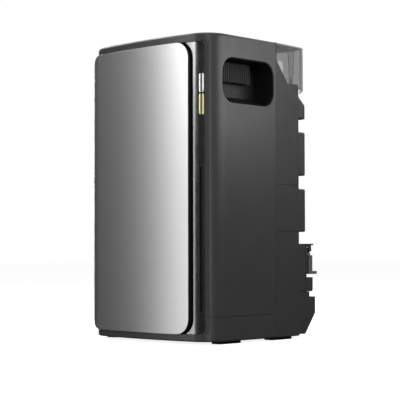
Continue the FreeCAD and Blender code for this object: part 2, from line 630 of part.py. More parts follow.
def filter_screen(name):
    """Filter frame with its mesh bars, clipped inside an intake cover."""
    z0, z1 = BLOCKS[name]
    y0, y1 = BLOCK_REAR - 15.0, BLOCK_REAR - 11.0
    x1 = BLOCK_HALF - 3.0
    frame = box(-x1, x1, y0, y1, z0 + 7, z1 - 4).cut(box(-x1 + 5, x1 - 5, y0 - 1, y1 + 1, z0 + 12, z1 - 9))
    bars = [box(x - 0.8, x + 0.8, y0 + 1, y1 - 1, z0 + 10, z1 - 6) for x in range(-121, 122, 11)]
    rows = [box(-x1 + 2, x1 - 2, y0 + 1, y1 - 1, z0 + 12 + 9.2 * i - 0.8, z0 + 12 + 9.2 * i + 0.8)
            for i in range(1, 6)]
    return fuse([frame] + bars + rows)


def port_block():
    """Fixed block with the sockets' recess in the middle and a latch bay at each end."""
    z0, z1 = PORT_BOTTOM, PORT_TOP
    block = block_blank(PORT_HALF, z0, z1, PORT_REAR, 1.5, 1.0)
    block = block.cut(box(-PORT_HALF + 2.5, PORT_HALF - 2.5, 0, PORT_REAR - 2.5, z0 + 2.5, z1 - 2.5))
    tunnel = rounded_prism(-68.5, 68.5, z0 + 6.5, z1 - 6.5, 8, "xz", REAR_Y + GAP, PORT_REAR - REAR_Y - 1)
    bosses = [cylinder(5.0, V(x, REAR_Y + GAP, 161.0), Y_AXIS, 12) for x in (-108, 108)]
    block = fuse([block, tunnel] + bosses)
    recess = rounded_prism(-66, 66, z0 + 9, z1 - 9, 6, "xz", REAR_Y - 5, 80)
    seat = rounded_prism(-72, 72, z0 + 3.6, z1 - 5.9, 6, "xz", PORT_REAR - 2.0, 10)
    block = cut_all(block, [recess, seat])
    holes = [cylinder(1.7, V(x, REAR_Y, 161.0), Y_AXIS, 10) for x in (-108, 108)]
    holes += [cylinder(1.7, V(x, PORT_REAR - 6, 131.0), Y_AXIS, 12) for x in (-108, 108)]
    return cut_all(block, holes)


FLAP_KNUCKLES = (-52.0, 38.0)
FLAP_AXIS_Y, FLAP_AXIS_Z = PORT_REAR + 3.6, PORT_TOP - 8.0


def service_flap():
    """Door over the sockets, hinged along its top edge, with a pull lip below."""
    z0, z1 = PORT_BOTTOM + 4.2, PORT_TOP - 6.5
    plate = rounded_prism(-71.4, 71.4, z0, z1, 5.4, "xz", PORT_REAR - 1.6, 2.6)
    lip = rounded_prism(-16, 16, z0, z0 + 4, 1.8, "xz", PORT_REAR + 0.6, 4.4)
    knuckles = [cylinder(2.6, V(x, FLAP_AXIS_Y, FLAP_AXIS_Z), X_AXIS, 14) for x in FLAP_KNUCKLES]
    webs = [box(x, x + 14, PORT_REAR + 0.4, FLAP_AXIS_Y, FLAP_AXIS_Z - 2.6, FLAP_AXIS_Z) for x in FLAP_KNUCKLES]
    bores = [cylinder(1.3, V(x - 1, FLAP_AXIS_Y, FLAP_AXIS_Z), X_AXIS, 16) for x in FLAP_KNUCKLES]
    return cut_all(fuse([plate, lip] + knuckles + webs), bores)


def flap_hinge():
    """Two brackets with pins above the door."""
    made = []
    for x in FLAP_KNUCKLES:
        pin = cylinder(1.25, V(x - 5, FLAP_AXIS_Y, FLAP_AXIS_Z), X_AXIS, 24)
        pieces = [pin]
        for c in (x - 4.4, x + 14.8):
            pieces.append(cylinder(2.4, V(c, FLAP_AXIS_Y, FLAP_AXIS_Z), X_AXIS, 3.6))
            pieces.append(box(c, c + 3.6, FLAP_AXIS_Y - 1.6, FLAP_AXIS_Y + 1.6, FLAP_AXIS_Z, PORT_TOP - 1.0))
            pieces.append(box(c, c + 3.6, PORT_REAR + 0.05, FLAP_AXIS_Y + 1.6, PORT_TOP - 3.2, PORT_TOP - 1.0))
        made.append(fuse(pieces))
    return group(made)


def latch_bracket(sign):
    """Housing that carries one latch: top plate, back plate, inner cheek and a solid foot."""
    y0 = PORT_REAR + 0.05
    inner, outer = LATCH_X0, LATCH_X1
    top = box(inner, outer + 1.0, y0, LATCH_REAR + 1.0, PORT_TOP - 2.6, PORT_TOP)
    foot = box(inner, outer, y0, LATCH_REAR, PORT_BOTTOM, 107.0)
    foot = fillet_where(
        foot, 4.0, lambda e: e.BoundBox.ZMax < PORT_BOTTOM + 0.1 and e.BoundBox.YMin > LATCH_REAR - 0.1)
    stop = box(inner, outer, y0 + 1.0, LATCH_REAR - 10.0, LATCH_PIN_Z + 4.6, PORT_TOP - 2.0)
    back = box(inner, outer, y0, y0 + 2.0, 106.0, PORT_TOP - 2.0)
    cheek = box(inner, inner + 2.6, y0, LATCH_REAR - 1, 106.0, PORT_TOP - 2.0)
    pillar = cylinder(3.6, V(outer - 3.0, LATCH_REAR - 7.0, LATCH_PIN_Z), X_AXIS, 3.0)
    hanger = box(outer - 3.0, outer, LATCH_REAR - 10.0, LATCH_REAR - 4.0, LATCH_PIN_Z, PORT_TOP - 2.0)
    body = fuse([top, foot, stop, back, cheek, pillar, hanger])
    body = body.cut(cylinder(1.6, V(0, LATCH_REAR - 7.0, LATCH_PIN_Z), X_AXIS, 200))
    body = body.cut(cylinder(1.7, V(108, y0 - 1, 131.0), Y_AXIS, 6))
    return body if sign > 0 else mirrored(body)


def latch_pin(sign):
    length = LATCH_X1 - LATCH_X0 - 0.2
    pin = cylinder(1.55, V(LATCH_X0 + 0.1, LATCH_REAR - 7.0, LATCH_PIN_Z), X_AXIS, length)
    return pin if sign > 0 else mirrored(pin)


def latch(sign):
    """Latch that swings out on its pin, with a tab for a finger."""
    x0, x1 = LATCH_X0 + 3.2, LATCH_X1 - 3.6
    y_pin = LATCH_REAR - 7.0
    eye = cylinder(4.2, V(x0, y_pin, LATCH_PIN_Z), X_AXIS, x1 - x0)
    bar = box(x0, x1, LATCH_REAR - 11.0, LATCH_REAR - 2.0, LATCH_TAB_Z, LATCH_PIN_Z - 6)
    neck = box(x0, x1, y_pin - 3.0, y_pin + 3.0, LATCH_PIN_Z - 8, LATCH_PIN_Z)
    plate = box(x0, LATCH_X1, LATCH_REAR - 11.0, LATCH_REAR - 0.4, LATCH_TAB_Z, LATCH_PIN_Z - 10)
    tab = box(x0, LATCH_X1, LATCH_REAR - 11.0, HALF_DEPTH, LATCH_TAB_Z, LATCH_TAB_Z + 5.4)
    tab = fillet_where(tab, 1.4, lambda e: e.BoundBox.YMin > HALF_DEPTH - 0.1)
    body = fuse([eye, bar, neck, plate, tab]).cut(cylinder(1.62, V(0, y_pin, LATCH_PIN_Z), X_AXIS, 200))
    return body if sign > 0 else mirrored(body)


def rear_skirt():
    """Lowest block behind: houses the drain, with a long chamfer under it."""
    y0 = REAR_Y + GAP
    top = PORT_BOTTOM - GAP
    outer = prism([(-PORT_HALF, y, z) for y, z in (
        (y0, 5.0), (SKIRT_TOE, 5.0), (SKIRT_REAR, SKIRT_KNEE), (SKIRT_REAR, SKIRT_TOP),
        (SKIRT_STEP, SKIRT_TOP), (SKIRT_STEP, top), (y0, top))], V(2 * PORT_HALF, 0, 0))
    outer = fillet_where(outer, 2.5, lambda e: e.BoundBox.YMin > SKIRT_REAR - 0.1)
    inner = prism([(-PORT_HALF + 3, y, z) for y, z in (
        (y0 - 5, 8.0), (SKIRT_TOE - 1.2, 8.0), (SKIRT_REAR - 3, SKIRT_KNEE + 1.2),
        (SKIRT_REAR - 3, SKIRT_TOP - 3), (SKIRT_STEP - 3, SKIRT_TOP - 3), (SKIRT_STEP - 3, top - 3),
        (y0 - 5, top - 3))], V(2 * PORT_HALF - 6, 0, 0))
    spout = cylinder(10.0, V(DRAIN_X, y0, DRAIN_Z), Y_AXIS, SKIRT_REAR - y0 - 1)
    bosses = [cylinder(5.0, V(x, y0, 24.0), Y_AXIS, 12) for x in (-108, 108)]
    ribs = [box(x - 2, x + 2, y0, y0 + 12, 6, 21) for x in (-108, 108)]
    skirt = fuse([outer.cut(inner), spout] + bosses + ribs)
    holes = [cylinder(1.7, V(x, y0 - 1, 24.0), Y_AXIS, 10) for x in (-108, 108)]
    return cut_all(skirt, [cylinder(7.0, V(DRAIN_X, y0 - 5, DRAIN_Z), Y_AXIS, 100)] + holes)


def drain_plug():
    """Rubber plug with a pull, pushed into the drain spout."""
    y0 = SKIRT_REAR + 0.1
    stem = cylinder(6.95, V(DRAIN_X, y0 - 14, DRAIN_Z), Y_AXIS, 14)
    head = cylinder(10.5, V(DRAIN_X, y0, DRAIN_Z), Y_AXIS, 2.0)
    grip = rounded_prism(
        DRAIN_X - 7, DRAIN_X + 7, DRAIN_Z - 1.6, DRAIN_Z + 1.6, 1.2, "xz", y0 + 1.5, 2.8)
    return fuse([stem, head, grip])


# ---------------------------------------------------------------- feet
def foot(x, y):
    """Rubber foot, wide and low, under the base."""
    pad = rounded_prism(x - 11, x + 11, y - 28, y + 28, 6, "xy", 0, FOOT_HEIGHT)
    return fillet_where(pad, 1.0, at_height(0.0))


FEET = {
    "foot_front_right": (129.0, -89.0), "foot_front_left": (-129.0, -89.0),
    "foot_rear_right": (129.0, 45.5), "foot_rear_left": (-129.0, 45.5),
}


# ---------------------------------------------------------------- inside
def base_pan():
    """Pressed metal tray that the machinery stands on."""
    floor = box(-128, 128, -118, 82, 9, 11)
    lips = [box(-128, 128, y, y + 2, 11, 20) for y in (-118, 80)]
    lips += [box(x, x + 2, -118, 82, 11, 20) for x in (-128, 126)]
    return fuse([floor] + lips).cut(cylinder(3.0, V(0, 0, 5), Z_AXIS, 10))


def compressor():
    """Upright rotary compressor can with domed ends, feet, and a terminal cover."""
    x, y = COMPRESSOR
    can = cylinder(50, V(x, y, 24), Z_AXIS, 128)
    can = fillet_where(can, 16, lambda e: at_height(24)(e) or at_height(152)(e))
    plate = prism([
        (x - 58, y - 34, 21), (x + 58, y - 34, 21), (x, y + 66, 21)], V(0, 0, 4))
    plate = plate.common(cylinder(62, V(x, y, 20), Z_AXIS, 6))
    cap = cylinder(13, V(x - 14, y, 151), Z_AXIS, 12)
    outlet = cylinder(4, V(x + 20, y, 150), Z_AXIS, 14)
    holes = [cylinder(4.2, V(*p, 15), Z_AXIS, 20) for p in compressor_feet_places()]
    return cut_all(fuse([can, plate, cap, outlet]), holes)


COMPRESSOR = (62.0, 14.0)


def compressor_feet_places():
    x, y = COMPRESSOR
    return [(x - 44, y - 28), (x + 44, y - 28), (x, y + 56)]


def compressor_grommets():
    """Rubber mounts under the compressor's plate."""
    return group(
        fuse([cylinder(8, V(px, py, 11), Z_AXIS, 10), cylinder(4.0, V(px, py, 20), Z_AXIS, 8)])
        for px, py in compressor_feet_places())


def accumulator():
    """Suction accumulator strapped beside the compressor."""
    x, y = COMPRESSOR[0] - 76.0, COMPRESSOR[1] + 10.0
    can = cylinder(20, V(x, y, 40), Z_AXIS, 96)
    can = fillet_where(can, 8, lambda e: at_height(40)(e) or at_height(136)(e))
    neck = cylinder(4, V(x, y, 134), Z_AXIS, 12)
    leg = box(x - 8, x + 8, y - 1.5, y + 1.5, 11, 44)
    return fuse([can, neck, leg])


def coil(x0, x1, y0, y1, z0, z1, rows):
    """Fin pack between two end plates, with return bends at one end."""
    pack = box(x0 + 3, x1 - 3, y0, y1, z0, z1)
    notches = [box(x0 - 1, x1 + 1, y0 - 1, y0 + 1.2, z, z + 1.6)
               for z in [z0 + 6 + 8.0 * i for i in range(int((z1 - z0 - 8) / 8.0))]]
    plates = [box(x, x + 2, y0 - 3, y1 + 3, z0 - 2, z1 + 2) for x in (x0 + 1, x1 - 3)]
    body = fuse([pack.cut(Part.makeCompound(notches))] + plates)
    pitch = (z1 - z0) / rows
    middle = (y0 + y1) / 2
    bends = []
    for i in range(0, rows - 1, 2):
        a = z0 + pitch * (i + 0.5)
        b = a + pitch
        mid = (a + b) / 2
        bends.append(Part.makeTorus(
            pitch / 2, 3.2, V(x1 - 1.0, middle, mid), Y_AXIS, -180, 180, 360).common(
                box(x1 - 1.0, x1 + pitch, middle - 10, middle + 10, a - 5, b + 5)))
    return fuse([body] + bends)


def condenser_coil():
    return coil(-104, 98, 60, 79, 176, 380, 10)


def evaporator_coil():
    return coil(-90, 78, -112, -92, 190, 396, 10)


def fan_blade(hub_radius, tip_radius, depth, pitch_deg, chord):
    """One flat pitched blade along +X, 1.6 mm thick, on an axis along +Y."""
    blade = box(hub_radius - 2, tip_radius, -chord / 2, chord / 2, -0.8, 0.8)
    blade.rotate(V(0, 0, 0), X_AXIS, pitch_deg)
    return blade.common(box(0, tip_radius, -depth / 2, depth / 2, -tip_radius, tip_radius))


def axial_fan(x, y, z, tip_radius, hub_radius, depth, blades, bore):
    hub = cylinder(hub_radius, V(0, -depth / 2, 0), Y_AXIS, depth)
    parts = [hub]
    for i in range(blades):
        blade = fan_blade(hub_radius, tip_radius, depth, 42, depth * 1.3)
        blade.rotate(V(0, 0, 0), Y_AXIS, 360.0 / blades * i)
        parts.append(blade)
    rotor = fuse(parts).cut(cylinder(bore, V(0, -depth, 0), Y_AXIS, 2 * depth))
    rotor.translate(V(x, y, z))
    return rotor


CONDENSER_FAN = (-3.0, 43.0, 278.0)
BLOWER = (-4.0, -58.0, 292.0)


def condenser_fan():
    x, y, z = CONDENSER_FAN
    return axial_fan(x, y, z, 88, 26, 18, 7, 4.05)


def condenser_shroud():
    """Square plate with a ring that the condenser fan turns in, and lugs to the coil."""
    x, y, z = CONDENSER_FAN
    plate = box(-104, 98, 53.5, 55.5, 176, 380)
    rim = cylinder(94, V(x, 32, z), Y_AXIS, 23.5)
    return fuse([plate, rim]).cut(cylinder(91, V(x, 20, z), Y_AXIS, 60))


def divider():
    """Wall between the warm and the cool half, with both motors' openings."""
    wall = fuse([box(-126, 126, -4, 0, 22.5, 392), box(-98, 98, -4, 0, 391, 476)])
    x, _, z = CONDENSER_FAN
    bx, _, bz = BLOWER
    return cut_all(wall, [
        cylinder(30, V(x, -10, z), Y_AXIS, 20), cylinder(2, V(bx, -10, bz), Y_AXIS, 20),
        cylinder(7, V(-112, -10, 230), Y_AXIS, 20), compressor_clearance()])


def compressor_clearance():
    x, y = COMPRESSOR
    return cylinder(64, V(x, y, 0), Z_AXIS, 170)


def condenser_motor():
    """Motor can with its shaft and a round flange on the divider."""
    x, _, z = CONDENSER_FAN
    can = cylinder(28, V(x, 3, z), Y_AXIS, 28)
    flange = cylinder(38, V(x, 0.05, z), Y_AXIS, 3)
    shaft = cylinder(4.0, V(x, 30, z), Y_AXIS, 21)
    return fuse([can, flange, shaft])


def blower_wheel():
    """Forward-curved wheel: back plate, rim ring and a ring of blades."""
    x, y, z = BLOWER
    outer, inner, depth = 74.0, 58.0, 34.0
    back = cylinder(outer, V(0, depth / 2 - 2, 0), Y_AXIS, 2)
    rim = ring(outer, inner + 6, V(0, -depth / 2, 0), Y_AXIS, 2)
    hub = cylinder(14, V(0, depth / 2 - 14, 0), Y_AXIS, 14)
    count = 32
    blades = []
    for i in range(count):
        blade = box(inner + 1, outer - 1, -depth / 2, depth / 2, -0.7, 0.7)
        blade.rotate(V(inner, 0, 0), Y_AXIS, 24)
        blade.rotate(V(0, 0, 0), Y_AXIS, 360.0 / count * i)
        blades.append(blade.common(cylinder(outer, V(0, -depth, 0), Y_AXIS, 2 * depth)))
    wheel = fuse([back, rim, hub] + blades).cut(cylinder(4.05, V(0, -50, 0), Y_AXIS, 100))
    wheel.translate(V(x, y, z))
    return wheel


def blower_motor():
    x, _, z = BLOWER
    can = cylinder(26, V(x, -30, z), Y_AXIS, 24)
    flange = cylinder(34, V(x, -6.5, z), Y_AXIS, 2.4)
    shaft = cylinder(4.0, V(x, -66, z), Y_AXIS, 38)
    return fuse([can, flange, shaft])


def blower_scroll():
    """Open-fronted casing round the blower wheel."""
    x, _, z = BLOWER
    outer = box(x - 92, x + 92, -86, -34, z - 92, z + 92)
    inner = cylinder(84, V(x, -84, z), Y_AXIS, 48)
    inlet = cylinder(60, V(x, -100, z), Y_AXIS, 30)
    motor_hole = cylinder(30, V(x, -50, z), Y_AXIS, 30)
    mouth = box(x - 84, x - 30, -84, -36, z - 100, z)
    return cut_all(outer, [inner, inlet, motor_hole, mouth])


def drain_tray():
    """Tray under the evaporator that catches condensate."""
    outer = box(-98, 90, -116, -84, 168, 186)
    return outer.cut(box(-96, 88, -114, -86, 170, 190)).cut(cylinder(4, V(-80, -100, 160), Z_AXIS, 20))


def bent_pipe(points, radius, pipe_radius):
    """Pipe along straight runs with round bends."""
    pts = [V(*p) for p in points]
    edges = []
    start = pts[0]
    for i in range(1, len(pts) - 1):
        a = (pts[i - 1] - pts[i]).normalize()
        b = (pts[i + 1] - pts[i]).normalize()
        angle = a.getAngle(b)
        reach = radius / math.tan(angle / 2)
        first, last = pts[i] + a * reach, pts[i] + b * reach
        bisector = (a + b).normalize()
        middle = pts[i] + bisector * (radius / math.sin(angle / 2) - radius)
        if (first - start).Length > 1e-6:
            edges.append(Part.LineSegment(start, first).toShape())
        edges.append(Part.Arc(first, middle, last).toShape())
        start = last
    edges.append(Part.LineSegment(start, pts[-1]).toShape())
    path = Part.Wire(edges)
    direction = (pts[1] - pts[0]).normalize()
    profile = Part.Wire(Part.Circle(pts[0], direction, pipe_radius).toShape())
    return path.makePipeShell([profile], True, False)


def discharge_pipe():
    """Copper line from the compressor up to the condenser coil's foot."""
    x, y = COMPRESSOR
    return bent_pipe([(x + 20, y, 164.2), (x + 20, y, 188), (x + 58, y, 188), (x + 58, y + 54, 188),
                      (x + 58, y + 54, 240)], 8, 3.5)


def suction_pipe():
    """Copper line from the accumulator up through the divider's notch towards the evaporator."""
    x, y = COMPRESSOR[0] - 76.0, COMPRESSOR[1] + 10.0
    return bent_pipe([(x, y, 146.2), (x, y, 166), (-112, y, 166), (-112, y, 230), (-112, -101, 230),
                      (-92, -101, 230)], 9, 4.0)


def control_box():
    """Electronics box on the cool side of the divider, low down."""
    outer = box(-118, -24, -80, -6, 11.5, 132)
    box_body = outer.cut(box(-116, -26, -78, -8, 13.5, 130))
    ribs = [box(-116 + 12 * i, -110 + 12 * i, -82, -79, 18, 126) for i in range(8)]
    return fuse([box_body] + ribs)


def battery():
    """Battery module beside the electronics."""
    pack = box(-14, 116, -110, -44, 11.5, 118)
    pack = fillet_where(pack, 4, lambda e: e.BoundBox.ZLength > 100)
    return fuse([pack, box(30, 60, -112, -109, 20, 110)])


def mains_inlet():
    """Plate in the port recess with a mains inlet, a round low-voltage socket and a data socket."""
    z = SOCKET_Z
    plate = rounded_prism(-58, 58, z - 28, z + 28, 4, "xz", REAR_Y - 8, 3)
    inlet = rounded_prism(-47, -17, z - 14, z + 14, 3, "xz", REAR_Y - 5.5, 16.5)
    inlet = inlet.cut(rounded_prism(-44, -20, z - 11, z + 11, 2, "xz", REAR_Y - 5, 20))
    pins = [box(x - 1, x + 1, REAR_Y - 5.5, REAR_Y + 1, z - 3, z + 3) for x in (-38, -32, -26)]
    socket = ring(11, 8, V(8, REAR_Y - 5.5, z), Y_AXIS, 14.5)
    data = rounded_prism(31, 51, z - 6, z + 6, 2, "xz", REAR_Y - 5.5, 10.5)
    data = data.cut(rounded_prism(33, 49, z - 4, z + 4, 1.4, "xz", REAR_Y - 5, 20))
    return fuse([plate, inlet, socket, data] + pins)


def block_screws():
    """Screws that hold the fixed rear blocks, from inside the rear wall."""
    return group(
        screw(V(x, REAR_Y - WALL - 0.1, z), Y_AXIS, 11.0) for x, z in BLOCK_SCREWS)


def latch_screws():
    """Screws through the latch housings into the port block."""
    return group(screw(V(x, PORT_REAR + 2.15, 131.0), -Y_AXIS, 6.0, 1.6, 3.0) for x in (-108, 108))


# ---------------------------------------------------------------- every node
def nodes():
    made = {
        "main_shell": main_shell, "base_shell": base_shell, "rear_shell": rear_shell,
        "hood": hood, "hood_screws": hood_screws,
        "front_frame": front_frame, "front_panel": front_panel, "panel_backing": panel_backing,
        "panel_standoffs": panel_standoffs, "outlet_grille": outlet_grille,
        "mode_key": mode_key, "power_key": power_key, "light_bar": light_bar, "light_trim": light_trim,
        "control_board": control_board,
        "handle_pocket_right": lambda: handle_pocket(1), "handle_pocket_left": lambda: handle_pocket(-1),
        "handle_grip_right": handle_grip, "handle_grip_left": lambda: mirrored(handle_grip()),
        "top_block": top_block,
        "filter_cover_upper": lambda: filter_cover("upper"),
        "filter_cover_lower": lambda: filter_cover("lower"),
        "filter_screen_upper": lambda: filter_screen("upper"),
        "filter_screen_lower": lambda: filter_screen("lower"),
        "port_block": port_block, "service_flap": service_flap, "flap_hinge": flap_hinge,
        "latch_bracket_right": lambda: latch_bracket(1), "latch_bracket_left": lambda: latch_bracket(-1),
        "latch_right": lambda: latch(1), "latch_left": lambda: latch(-1),
        "latch_pin_right": lambda: latch_pin(1), "latch_pin_left": lambda: latch_pin(-1),
        "latch_screws": latch_screws,
        "rear_skirt": rear_skirt, "drain_plug": drain_plug, "mains_inlet": mains_inlet,
        "block_screws": block_screws,
        "base_pan": base_pan, "compressor": compressor, "compressor_grommets": compressor_grommets,
        "accumulator": accumulator, "condenser_coil": condenser_coil,
        "evaporator_coil": evaporator_coil, "condenser_fan": condenser_fan,
        "condenser_shroud": condenser_shroud, "condenser_motor": condenser_motor,
        "divider": divider, "blower_wheel": blower_wheel, "blower_motor": blower_motor,
        "blower_scroll": blower_scroll, "drain_tray": drain_tray,
        "discharge_pipe": discharge_pipe, "suction_pipe": suction_pipe,
        "control_box": control_box, "battery": battery,
    }
    for name, (x, y) in FEET.items():
        made[name] = lambda x=x, y=y: foot(x, y)
    return made


def main():
    os.makedirs("parts", exist_ok=True)
    for name, make in nodes().items():
        shape = make()
        solids = shape.Solids
        assert solids and all(s.isValid() and s.Volume > 0 for s in solids), name
        shape.exportStep(f"parts/{name}.step")
        print(f"{name}: {len(solids)} solids, {shape.Volume / 1000:.1f} cm3")


if __name__ == "__main__":
    main()
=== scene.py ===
import bpy
import bmesh
import json
import math
from mathutils import Matrix, Vector


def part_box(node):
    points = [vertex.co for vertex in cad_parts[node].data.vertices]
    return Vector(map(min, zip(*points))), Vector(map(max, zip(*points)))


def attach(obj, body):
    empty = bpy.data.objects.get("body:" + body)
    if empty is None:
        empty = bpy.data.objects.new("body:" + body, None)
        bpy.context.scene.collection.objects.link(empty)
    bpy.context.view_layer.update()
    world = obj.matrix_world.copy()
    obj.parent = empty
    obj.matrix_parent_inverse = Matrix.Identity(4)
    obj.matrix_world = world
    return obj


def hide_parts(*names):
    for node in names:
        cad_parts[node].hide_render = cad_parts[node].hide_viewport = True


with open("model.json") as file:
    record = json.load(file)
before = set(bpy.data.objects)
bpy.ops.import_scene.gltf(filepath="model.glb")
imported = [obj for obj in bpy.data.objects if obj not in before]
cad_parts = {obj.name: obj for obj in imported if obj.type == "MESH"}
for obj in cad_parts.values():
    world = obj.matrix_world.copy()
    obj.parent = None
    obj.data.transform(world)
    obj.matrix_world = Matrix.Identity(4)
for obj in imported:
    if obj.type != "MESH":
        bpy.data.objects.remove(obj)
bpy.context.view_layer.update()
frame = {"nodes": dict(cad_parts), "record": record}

NODES = frame["nodes"]
RECORD = frame["record"]
BODY_OF = {n: b for b, names in RECORD["behaviour"]["bodies"].items() for n in names}
SLOT_OF = {s["node"]: s["material_slot"] for s in RECORD["subparts"]}


# ---------------------------------------------------------------- node helpers
class Graph:
    """Short names for building one material's nodes."""

    def __init__(self, name):
        self.material = bpy.data.materials.new(name)
        self.material.use_nodes = True
        self.tree = self.material.node_tree
        self.shader = self.tree.nodes["Principled BSDF"]
        self.coords = self.tree.nodes.new("ShaderNodeTexCoord")

    def node(self, kind, **values):
        made = self.tree.nodes.new("ShaderNode" + kind)
        for key, value in values.items():
            setattr(made, key, value)
        return made

    def link(self, source, target):
        self.tree.links.new(source, target)

    def scaled(self, scale):
        """Object coordinates, stretched along the three axes."""
        mapping = self.node("Mapping")
        mapping.inputs["Scale"].default_value = scale
        self.link(self.coords.outputs["Object"], mapping.inputs["Vector"])
        return mapping.outputs["Vector"]

    def noise(self, scale, detail=3.0, roughness=0.5, stretch=(1, 1, 1)):
        made = self.node("TexNoise")
        made.inputs["Scale"].default_value = scale
        made.inputs["Detail"].default_value = detail
        made.inputs["Roughness"].default_value = roughness
        self.link(self.scaled(stretch), made.inputs["Vector"])
        return made.outputs["Fac"]

    def voronoi(self, scale):
        made = self.node("TexVoronoi")
        made.inputs["Scale"].default_value = scale
        self.link(self.scaled((1, 1, 1)), made.inputs["Vector"])
        return made.outputs["Distance"]

    def ramp(self, source, low, high, out_low, out_high):
        made = self.node("MapRange")
        ends = {"From Min": low, "From Max": high, "To Min": out_low, "To Max": out_high}
        for key, value in ends.items():
            made.inputs[key].default_value = value
        self.link(source, made.inputs["Value"])
        return made.outputs["Result"]

    def maths(self, operation, a, b):
        made = self.node("Math", operation=operation)
        for i, value in enumerate((a, b)):
            if isinstance(value, (int, float)):
                made.inputs[i].default_value = value
            else:
                self.link(value, made.inputs[i])
        return made.outputs["Value"]

    def colours(self, factor, first, second):
        made = self.node("Mix", data_type="RGBA")
        ends = {"A": (*first, 1), "B": (*second, 1)}
        for socket in made.inputs:
            if socket.type == "RGBA":
                socket.default_value = ends[socket.name]
        self.link(factor, made.inputs[0])
        return [s for s in made.outputs if s.type == "RGBA"][0]

    def bump(self, height, strength, distance):
        made = self.node("Bump")
        made.inputs["Strength"].default_value = strength
        made.inputs["Distance"].default_value = distance
        self.link(height, made.inputs["Height"])
        return made.outputs["Normal"]

    def finish(self, colour, roughness, normal, **sockets):
        """Links the shader's three varying inputs and sets its constants on its own sockets."""
        self.link(colour, self.shader.inputs["Base Color"])
        self.link(roughness, self.shader.inputs["Roughness"])
        self.link(normal, self.shader.inputs["Normal"])
        for key, value in sockets.items():
            self.shader.inputs[key.replace("_", " ")].default_value = value
        return self.material


# ---------------------------------------------------------------- materials
PLASTIC_GRAIN = 1500.0           # scale of the moulded grain
PLASTIC_DEPTH = 0.00006          # metres, so too shallow to change an outline


def grained_plastic(name, dark, light, rough=(0.46, 0.58)):
    """Moulded plastic: a spark-eroded grain, a slow change of tone and a few polished patches."""
    g = Graph(name)
    tone = g.noise(9.0, 3.0, 0.5)
    fine = g.noise(PLASTIC_GRAIN, 3.0, 0.6)
    factor = g.maths("ADD", g.maths("MULTIPLY", tone, 0.7), g.maths("MULTIPLY", fine, 0.3))
    colour = g.colours(g.ramp(factor, 0.32, 0.68, 0.0, 1.0), dark, light)
    roughness = g.ramp(g.noise(30.0, 4.0, 0.6), 0.3, 0.7, *rough)
    cells = g.voronoi(PLASTIC_GRAIN * 0.8)
    normal = g.bump(g.maths("ADD", fine, g.maths("MULTIPLY", cells, 0.6)), 0.35, PLASTIC_DEPTH)
    return g.finish(colour, roughness, normal)


SCRATCH_ALONG = 6                # scale of the noise along a scratch; across it, it is fineness
SCRATCH_DEPTH = 0.00003
BAND_ALONG, BAND_ACROSS = 0.5, 0.22      # the wide bands' scales, as shares of the scratches' own


def brushed(name, first, second, rough, along, strength=0.10, fineness=900):
    """Metal brushed along one axis: long fine scratches in colour, roughness and bump."""
    g = Graph(name)
    stretch = tuple(SCRATCH_ALONG if axis == along else fineness for axis in "xyz")
    bands = tuple(
        SCRATCH_ALONG * BAND_ALONG if axis == along else fineness * BAND_ACROSS for axis in "xyz")
    scratch = g.noise(1.0, 4.0, 0.65, stretch)
    wide = g.noise(1.0, 2.0, 0.5, bands)
    both = g.maths("ADD", g.maths("MULTIPLY", scratch, 0.65), g.maths("MULTIPLY", wide, 0.35))
    colour = g.colours(g.ramp(both, 0.36, 0.64, 0.0, 1.0), first, second)
    roughness = g.ramp(both, 0.3, 0.7, *rough)
    normal = g.bump(scratch, strength, SCRATCH_DEPTH)
    return g.finish(colour, roughness, normal, Metallic=1.0)


def glossy(name, first, second, rough, metallic=0.0):
    """Polished surface with faint swirl marks and dust in its gloss."""
    g = Graph(name)
    smear = g.noise(55.0, 5.0, 0.65)
    specks = g.noise(2600.0, 2.0, 0.5)
    colour = g.colours(g.ramp(smear, 0.3, 0.7, 0.0, 1.0), first, second)
    mixed = g.maths("ADD", g.maths("MULTIPLY", smear, 0.8), g.maths("MULTIPLY", specks, 0.2))
    roughness = g.ramp(mixed, 0.35, 0.65, *rough)
    normal = g.bump(smear, 0.02, 0.0002)
    return g.finish(colour, roughness, normal, Metallic=metallic)


def rubbery(name, dark, light):
    """Matt rubber with a fine tooth."""
    g = Graph(name)
    fine = g.noise(1800.0, 3.0, 0.7)
    colour = g.colours(g.ramp(g.noise(25.0, 4.0, 0.6), 0.35, 0.65, 0, 1), dark, light)
    return g.finish(colour, g.ramp(fine, 0.3, 0.7, 0.72, 0.92), g.bump(fine, 0.4, 0.0001))


HOOD_FACING, HOOD_EDGE_ON = 0.17, 0.97   # how solid one wall looks face on, and edge on
HOOD_BLEND = 0.30


def clear_hood(name):
    """Smoked clear plastic: a wavy moulded gloss, faint haze, denser where it is seen edge on."""
    g = Graph(name)
    haze = g.noise(14.0, 2.0, 0.4)
    fine = g.noise(900.0, 3.0, 0.6)
    colour = g.colours(g.ramp(haze, 0.3, 0.7, 0, 1), (0.13, 0.132, 0.135), (0.16, 0.162, 0.165))
    facing = g.node("LayerWeight")
    facing.inputs["Blend"].default_value = HOOD_BLEND
    alpha = g.ramp(facing.outputs["Facing"], 0.0, 1.0, HOOD_FACING, HOOD_EDGE_ON)
    g.link(alpha, g.shader.inputs["Alpha"])
    g.material.use_transparent_shadow = True
    return g.finish(colour, g.ramp(fine, 0.3, 0.7, 0.20, 0.26), g.bump(haze, 0.02, 0.0003),
                    Coat_Weight=0.3, Coat_Roughness=0.1)


